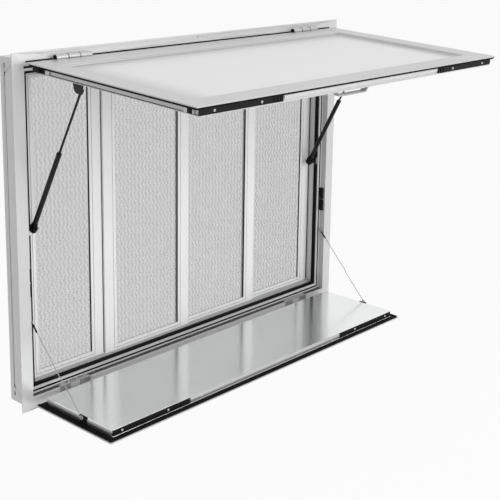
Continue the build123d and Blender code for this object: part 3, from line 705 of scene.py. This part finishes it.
class WINDOW_OT_flap_sides(bpy.types.Operator):
    """Adds the awning's latch bodies, black beads painted as the shade of its side grooves, and the
    rolled sides of the shelf
    """

    bl_idname = "window.flap_sides"
    bl_label = "Flap sides"

    def execute(self, context):
        low, high = extent(AWNING.axes, "awning_clips")
        side_face, level = AWNING.tray[1][0], (low[2] + high[2]) / 2
        latches, groove_shade_lines, rolls = Shell(), Shell(), Shell()
        spots = [(x, y, level) for x in both(high[0] - 1.5) for y in (low[1] + 8, high[1] - 11)]
        latches.boxes(spots, (5, 15, 11.5), 1, AWNING.axes)
        corners = [(x, AWNING.tray[0][1] + 5, AWNING.seal[1][2] + 8) for x in both(side_face + 4)]
        latches.boxes(corners, (14, 24, 15), 1.5, AWNING.axes)
        latches.finish("awning_latch_bodies", "black_plastic", "black_plastic", "awning")
        (_, near, bottom), (_, far, top) = SHELF.tray
        for side in (-1, 1):
            # Black beads stand in as painted shade for a groove along each side of the awning
            line = AWNING.plane((side * (side_face - 3), 0, high[2] + 0.4), AWAY, side * UP)
            groove_shade_lines.bar(dome_profile(1.0, 0.6, 5), [(low[1] - 12, 0), (high[1] + 12, 0)], line)
            place = (side * SHELF.strips[1][0], 0, (bottom + top) / 2)
            line = SHELF.plane(place, AWAY, side * UP)
            rolls.bar(dome_profile(17, 2.2, 11), [(near + 4, 0), (far - 8, 0)], line)
        groove_shade_lines.finish("awning_side_groove_shade", "black_rubber", "black_rubber", "awning")
        # The rolled sides carry a painted reflection, dark low down
        rolls.finish("shelf_side_rolls", "rolled_metal", "frame_aluminium", "shelf")
        return {"FINISHED"}


def bent_bar(points, bend, steps=8):
    """A flat path whose corners are arcs: from tangent to tangent about the corner's centre."""
    points = np.asarray(points, float)
    path = [points[:1]]
    for before, corner, after in zip(points[:-2], points[1:-1], points[2:]):
        back, forth = unit(before - corner), unit(after - corner)
        half = np.arccos(np.clip(back @ forth, -1, 1)) / 2
        centre = corner + unit(back + forth) * bend / np.sin(half)
        first = corner + back * bend / np.tan(half) - centre
        last = corner + forth * bend / np.tan(half) - centre
        part = np.linspace(0, 1, steps)[:, None]
        angle = pi - 2 * half
        turn = np.sin((1 - part) * angle) * first + np.sin(part * angle) * last
        path.append(centre + turn / np.sin(angle))
    path.append(points[-1:])
    return np.concatenate(path)


class WINDOW_OT_pull_handle(bpy.types.Operator):
    """Bends the pull handle under the awning from one flat bar"""

    bl_idname = "window.pull_handle"
    bl_label = "Pull handle"

    def execute(self, context):
        low, high = extent(AWNING.axes, "awning_handle")
        foot, rise, width = high[0], high[2] - low[2], high[1] - low[1]
        run = [(-foot + 2.6, 0), (-foot + 22, rise - 2), (foot - 22, rise - 2), (foot - 2.6, 0)]
        plane = AWNING.plane((0, high[1], low[2]), ACROSS, UP)
        handle = Shell().bar(round_profile(4, width, 0.9), bent_bar(run, 5), plane)
        handle.finish("pull_handle", "bright_steel", "bright_steel", "awning", ["awning_handle"])
        feet = Shell()
        pads = [(x, (low[1] + high[1]) / 2, low[2] + 0.4) for x in both(foot - 2)]
        feet.boxes(pads, (11, width + 2, 1.6), 0.6, AWNING.axes)
        feet.finish("pull_handle_pads", "black_rubber", "black_rubber", "awning")
        return {"FINISHED"}


def hinge_place(name):
    """Middle and half length of a node's two hinges, from its corners' distances from X = 0."""
    across = np.abs(node_points(name)[:, 0])
    return (across.min() + across.max()) / 2, (across.max() - across.min()) / 2


def beside_hinges(name, reach):
    """Paths along X from minus reach to reach that leave out a node's two hinges."""
    middle, half = hinge_place(name)
    near, far = middle - half - 1, middle + half + 1
    return [[(start, 0), (end, 0)] for start, end in ((-reach, -far), (-near, near), (far, reach))]


class WINDOW_OT_hinges(bpy.types.Operator):
    """Adds the hinges' pin ends, the washers between their knuckles and the sill leaves' screws"""

    bl_idname = "window.hinges"
    bl_label = "Hinges"

    def execute(self, context):
        ends, washers, screws = Shell(), Shell(), Shell()
        for flap, radius in ((AWNING, 8), (SHELF, 5)):
            middle, half = hinge_place(f"{flap.name}_hinges_fixed")
            cap = [(0, -1), (0.94 * radius, -1), (0.94 * radius, 0.3), (0.84 * radius, 0.6),
                   (0.6 * radius, 0.6), (0.5 * radius, 0.2), (0, 0.2)]
            inner, outer = 0.5 * radius, radius + 0.4
            ring = [(inner, -0.9), (outer, -0.9), (outer, 0.9), (inner, 0.9)]
            for side in (-1, 1):
                for end in (-1, 1):
                    centre = flap.at((side * middle + end * half, 0, 0))
                    ends.spin(cap, centre, flap.axes[1] * end)
                    centre = flap.at((side * middle + end * half / 3, 0, 0))
                    washers.spin(ring, centre, flap.axes[1], closed=True)
        ends.finish("hinge_pin_ends", "black_plastic", "black_plastic", "root")
        washers.finish("hinge_washers", "black_rubber", "black_rubber", "root")
        leaf = extent(ROOM, "shelf_hinges_fixed")[1][2]
        middle = hinge_place("shelf_hinges_fixed")[0]
        spots = [(x, 9, leaf) for x in both(*(middle + np.array([-38, -13, 13, 38])))]
        screw_heads(screws, spots, UP, 6)
        screws.finish("hinge_screws", "bright_steel", "bright_steel", "root")
        return {"FINISHED"}


class WINDOW_OT_struts(bpy.types.Operator):
    """Adds the struts' end housings, tabs and glands"""

    bl_idname = "window.struts"
    bl_label = "Struts"

    def execute(self, context):
        low, high = extent(ROOM, "strut_pivots")
        mouth = 237  # from the foot to the open end of the cylinder
        collar = [(0, 12), (7.7, 12), (8.2, 13), (8.2, 17), (7.4, 18.5), (0, 18.5)]
        lip = [(4, 0), (6.7, 0), (7, 1), (7, 4.5), (6.2, 6.6), (4, 6.6)]
        for word in ("left", "right"):
            tip = joint_place(f"{word}_rod_pivot")
            foot = np.array([tip[0], (low[1] + high[1]) / 2, (low[2] + high[2]) / 2])
            along = unit(tip - foot)
            turn = [ACROSS, np.cross(along, ACROSS), along]
            bottom, top = np.array([foot, *turn]), np.array([tip, *turn])
            socket = Shell().boxes([(0, 0, 2)], (16, 21, 24), 6.5, bottom)
            socket.boxes([(0, -11, 9)], (8, 6, 10), 2, bottom).spin(collar, foot, along)
            socket.finish(f"{word}_strut_socket", "black_plastic", "black_plastic",
                          f"{word}_cylinder")
            gland = Shell().spin(lip, foot + mouth * along, along, closed=True)
            gland.finish(f"{word}_strut_gland", "black_enamel", "black_steel", f"{word}_cylinder")
            end = Shell().boxes([(0, 0, -1)], (10.5, 12, 14), 3.5, top)
            end.finish(f"{word}_rod_socket", "black_plastic", "black_plastic", f"{word}_rod")
        return {"FINISHED"}


def twisted(start, end, radius, strands, lay):
    """Helices about a straight run: the run's point plus a circle that turns once per lay."""
    reach = np.linalg.norm(end - start)
    part = np.linspace(0, 1, max(int(reach / lay * 9), 2))[:, None]
    along = (end - start) / reach
    side = unit(np.cross(along, ACROSS))
    up = np.cross(along, side)
    phase = np.arange(strands)[:, None, None] * 2 * pi / strands
    turn = phase + 2 * pi * part * reach / lay
    core = start + part * (end - start)
    return core + radius * (np.cos(turn) * side + np.sin(turn) * up)


class WINDOW_OT_cables(bpy.types.Operator):
    """Lays up the shelf's wire ropes with their eyes, sleeves and clips"""

    bl_idname = "window.cables"
    bl_label = "Cables"

    def execute(self, context):
        sizes = context.scene.window_sizes
        for word in ("left", "right"):
            anchor = joint_place(f"{word}_upper_cable_pivot")
            point = joint_place(f"{word}_lower_cable_pivot")
            self.half(word, "upper", anchor, point, 34, sizes)
            self.half(word, "lower", point, anchor, 12, sizes)
        low, high = extent(SHELF.axes, "cable_brackets")
        spots = [(x, (low[1] + high[1]) / 2 - 10, high[2] - 7) for x in both(high[0] - 3)]
        clips = Shell().boxes(spots, (4, 9, 12), 1.2, SHELF.axes)
        clips.finish("shelf_cable_clips", "bright_steel", "bright_steel", "shelf")
        return {"FINISHED"}

    @staticmethod
    def half(word, name, start, other, sleeve, sizes):
        """Half a cable from its eye at the start: strands about a core, and crimped bands up to
        the sleeve's end. The eye is a circle swept by a small one."""
        node, body = f"{word}_cable_{name}", f"{word}_{name}_cable"
        wire = sizes.rope_radius / 3
        along = unit((other - start) * (0, 1, 1))
        up = np.cross(along, ACROSS)
        first = start + along * 9
        last = start + along * ((node_points(node) - start) @ along).max()
        rope = Shell()
        strands = twisted(first, last, 2 * wire, sizes.rope_strands, sizes.rope_lay)
        rope.grid(tube(strands, wire, 6), around=True, caps=True)
        rope.grid(tube(np.stack([first, last])[None], wire * 1.3, 8), around=True, caps=True)
        turn = np.linspace(0, 2 * pi, 32, endpoint=False)[:, None]
        small = np.linspace(0, 2 * pi, 8, endpoint=False)[:, None]
        out = np.cos(turn) * along + np.sin(turn) * up
        bend = np.cos(small) * out[:, None, :] + np.sin(small) * ACROSS
        rope.grid(start + 4.3 * out[:, None, :] + 1.1 * bend, around=True, along=True)
        rope.finish(f"{word}_{name}_rope", "wire_rope", "bright_steel", body, [node])
        inner, first_band = 1.3, 6.5
        bands = np.arange(first_band, sleeve - 2.4, 3.2)
        band = np.array([(2.1, 0), (2.5, 0.5), (2.5, 2.2), (2.1, 2.7)])
        rows = (band + bands[:, None, None] * (0, 1)).reshape(-1, 2)
        section = np.concatenate([[(inner, first_band)], rows, [(inner, bands[-1] + 2.7)]])
        crimp = Shell().spin(section, start, along, 20, closed=True)
        crimp.finish(f"{word}_{name}_sleeve", "black_enamel", "black_steel", body)


class WINDOW_OT_frame_trim(bpy.types.Operator):
    """Adds the header's gasket, the sill's strip and ribs, and the keepers' screws"""

    bl_idname = "window.frame_trim"
    bl_label = "Frame trim"

    def execute(self, context):
        gasket, ribs, strips, keepers = Shell(), Shell(), Shell(), Shell()
        leaf = extent(ROOM, "awning_hinges_fixed")[1][2]
        face = front_plane(0, FACE, leaf - 11.5)
        for run in beside_hinges("awning_hinges_fixed", REVEAL - 6):
            gasket.bar(round_profile(3.4, 1.8, 0.5), run, face)
        gasket.finish("header_gasket", "black_rubber", "black_rubber", "root")
        for run in beside_hinges("shelf_hinges_fixed", REVEAL):
            strips.bar(round_profile(14, 0.5, 0.1), run, room_plane((0, 8.5, LEDGE), ACROSS, AWAY))
            for depth in (3.4, 8.4, 13.4):
                line = room_plane((0, depth, LEDGE), ACROSS, AWAY)
                ribs.bar(dome_profile(1.6, 0.6), run, line)
        strips.finish("sill_strip", "black_rubber", "black_rubber", "root")
        ribs.finish("sill_ribs", "sill_metal", "frame_aluminium", "root")
        levels = (KEEPER_LOW[2] + 9, KEEPER_LOW[2] + 27, KEEPER_HIGH[2] - 27, KEEPER_HIGH[2] - 9)
        depth = (KEEPER_LOW[1] + KEEPER_HIGH[1]) / 2
        for side in (-1, 1):
            spots = [(side * (REVEAL - 7), depth, level) for level in levels]
            screw_heads(keepers, spots, -side * ACROSS, 4.4)
        keepers.finish("keeper_screws", "black_enamel", "black_plastic", "root")
        return {"FINISHED"}


def aim_matrix(place, yaw, pitch, roll):
    """A camera's or lamp's matrix from its place and angles: yaw from +Y towards +X, pitch down."""
    forward = np.array([sin(yaw) * cos(pitch), cos(yaw) * cos(pitch), -sin(pitch)])
    right = np.array([cos(yaw), -sin(yaw), 0.0])
    up = np.cross(right, forward)
    right, up = right * cos(roll) + up * sin(roll), up * cos(roll) - right * sin(roll)
    matrix = Matrix.Identity(4)
    for row in range(3):
        matrix[row][0], matrix[row][1], matrix[row][2] = right[row], up[row], -forward[row]
        matrix[row][3] = place[row]
    return matrix


def seen(tree, amount):
    """The amount for rays that show the background: seen, mirrored or looked through."""
    rays = add_node(tree, "ShaderNodeLightPath", {}).outputs
    total = rays["Is Camera Ray"]
    for kind in ("Is Glossy Ray", "Is Transmission Ray"):
        most = add_node(tree, "ShaderNodeMath", {0: total, 1: rays[kind]}, operation="MAXIMUM")
        total = most.outputs[0]
    return add_node(tree, "ShaderNodeMath", {0: total, 1: amount}, operation="MULTIPLY").outputs[0]


WHITE = (1, 1, 1, 1)
FLOOR_REACH, FLOOR_LINES, FLOOR_GREY, FLOOR_SEEN = 60, 41, 0.85, 0.93
WORLD_STRENGTH, WORLD_SEEN = 0.5, 1.0
# Each lamp's name, place, aim, size in metres and power in watts
LAMPS = (
    ("key", (0.8, -3.9, 1.8), (0, -0.1, 0.5), 2.6, 72),
    ("fill", (-1.5, -4.0, 0.4), (0, 0, 0.4), 3.0, 20),
    ("top", (-0.3, -0.6, 3.2), (0, -0.3, 0.9), 2.4, 14),
)
# The camera's place in metres and its yaw, pitch and roll. The focal length is in pixels of the
# picture's width, the sensor's width in millimetres and the shift in parts of the picture.
CAMERA_PLACE = (-2.169483, -2.202670, 1.275758)
CAMERA_TURN = (radians(47.388), radians(12.522), radians(0.841))
FOCAL_LENGTH, PICTURE_WIDTH, SENSOR_WIDTH, LENS_SHIFT = 1114.336, 500, 36, -0.2


class WINDOW_OT_stage(bpy.types.Operator):
    """Sets up the floor, the backdrop, the lamps, the world and the camera"""

    bl_idname = "window.stage"
    bl_label = "Stage"

    def execute(self, context):
        scene = context.scene
        self.floor(scene)
        self.world(scene)
        for name, place, aim, size, power in LAMPS:
            lamp = bpy.data.lights.new(name, "AREA")
            lamp.size = size
            lamp.energy = power
            holder = bpy.data.objects.new(name, lamp)
            scene.collection.objects.link(holder)
            right, ahead, rise = np.subtract(aim, place)
            turn = (atan2(right, ahead), atan2(-rise, np.hypot(right, ahead)), 0)
            holder.matrix_world = aim_matrix(place, *turn)
        lens = bpy.data.cameras.new("camera")
        lens.sensor_width = SENSOR_WIDTH
        lens.lens = FOCAL_LENGTH / PICTURE_WIDTH * SENSOR_WIDTH
        lens.shift_y = LENS_SHIFT
        camera = bpy.data.objects.new("camera", lens)
        scene.collection.objects.link(camera)
        camera.matrix_world = aim_matrix(CAMERA_PLACE, *CAMERA_TURN)
        scene.camera = camera
        scene.view_settings.view_transform = "Standard"
        return {"FINISHED"}

    @staticmethod
    def floor(scene):
        """A flat grid below the window. It takes shadows, and shows itself as near white."""
        part = np.linspace(-FLOOR_REACH, FLOOR_REACH, FLOOR_LINES)
        across, away = np.meshgrid(part, part, indexing="ij")
        drop = scene.window_sizes.floor_drop / 1000
        points = np.stack([across, away, np.full_like(across, -drop)], -1).reshape(-1, 3)
        index = np.arange(across.size).reshape(across.shape)
        corners = (index[:-1, :-1], index[1:, :-1], index[1:, 1:], index[:-1, 1:])
        floor = bpy.data.meshes.new("floor")
        floor.from_pydata(points.tolist(), [], np.stack(corners, -1).reshape(-1, 4).tolist())
        ground = bpy.data.objects.new("floor", floor)
        scene.collection.objects.link(ground)
        paper = bpy.data.materials.new("floor_paper")
        paper.use_nodes = True
        tree = paper.node_tree
        tree.nodes.remove(tree.nodes["Principled BSDF"])
        matt = add_node(tree, "ShaderNodeBsdfDiffuse", {"Color": (*[FLOOR_GREY] * 3, 1)})
        glow = add_node(tree, "ShaderNodeEmission", {})
        parts = {0: seen(tree, FLOOR_SEEN), 1: matt.outputs[0], 2: glow.outputs[0]}
        mix = add_node(tree, "ShaderNodeMixShader", parts)
        tree.links.new(mix.outputs[0], tree.nodes["Material Output"].inputs[0])
        floor.materials.append(paper)

    @staticmethod
    def world(scene):
        """White all round, softer as light than it shows."""
        scene.world = bpy.data.worlds.new("studio")
        scene.world.use_nodes = True
        tree = scene.world.node_tree
        painted_shade = tree.nodes["Background"]
        painted_shade.inputs["Color"].default_value = WHITE
        painted_shade.inputs["Strength"].default_value = WORLD_STRENGTH
        white = add_node(tree, "ShaderNodeBackground", {"Color": WHITE})
        parts = {0: seen(tree, WORLD_SEEN), 1: painted_shade.outputs[0], 2: white.outputs[0]}
        mix = add_node(tree, "ShaderNodeMixShader", parts)
        tree.links.new(mix.outputs[0], tree.nodes["World Output"].inputs[0])


OPERATORS = (
    WINDOW_OT_finishes, WINDOW_OT_screens, WINDOW_OT_flap_seals, WINDOW_OT_flap_fronts,
    WINDOW_OT_awning_sheet, WINDOW_OT_flap_sides, WINDOW_OT_pull_handle, WINDOW_OT_hinges,
    WINDOW_OT_struts, WINDOW_OT_cables, WINDOW_OT_frame_trim, WINDOW_OT_stage,
)


class WINDOW_PT_panel(bpy.types.Panel):
    """The window's sizes, colours and pieces"""

    bl_idname = "WINDOW_PT_panel"
    bl_label = "Concession Window"
    bl_space_type = "VIEW_3D"
    bl_region_type = "UI"
    bl_category = "Window"

    def draw(self, context):
        for group in (context.scene.window_sizes, context.scene.window_colours):
            column = self.layout.column(align=True)
            for key in group.bl_rna.properties.keys():
                if key not in ("rna_type", "name"):
                    column.prop(group, key)
        for operator in OPERATORS:
            self.layout.operator(operator.bl_idname)


CLASSES = (WindowSizes, WindowColours, *OPERATORS, WINDOW_PT_panel)


def register():
    for item in CLASSES:
        bpy.utils.register_class(item)
    bpy.types.Scene.window_sizes = PointerProperty(type=WindowSizes)
    bpy.types.Scene.window_colours = PointerProperty(type=WindowColours)


def unregister():
    del bpy.types.Scene.window_colours
    del bpy.types.Scene.window_sizes
    for item in reversed(CLASSES):
        bpy.utils.unregister_class(item)


def main():
    register()
    bpy.ops.window.finishes()
    bpy.ops.window.screens()
    bpy.ops.window.flap_seals()
    bpy.ops.window.flap_fronts()
    bpy.ops.window.awning_sheet()
    bpy.ops.window.flap_sides()
    bpy.ops.window.pull_handle()
    bpy.ops.window.hinges()
    bpy.ops.window.struts()
    bpy.ops.window.cables()
    bpy.ops.window.frame_trim()
    bpy.ops.window.stage()


if __name__ == "__main__":
    main()
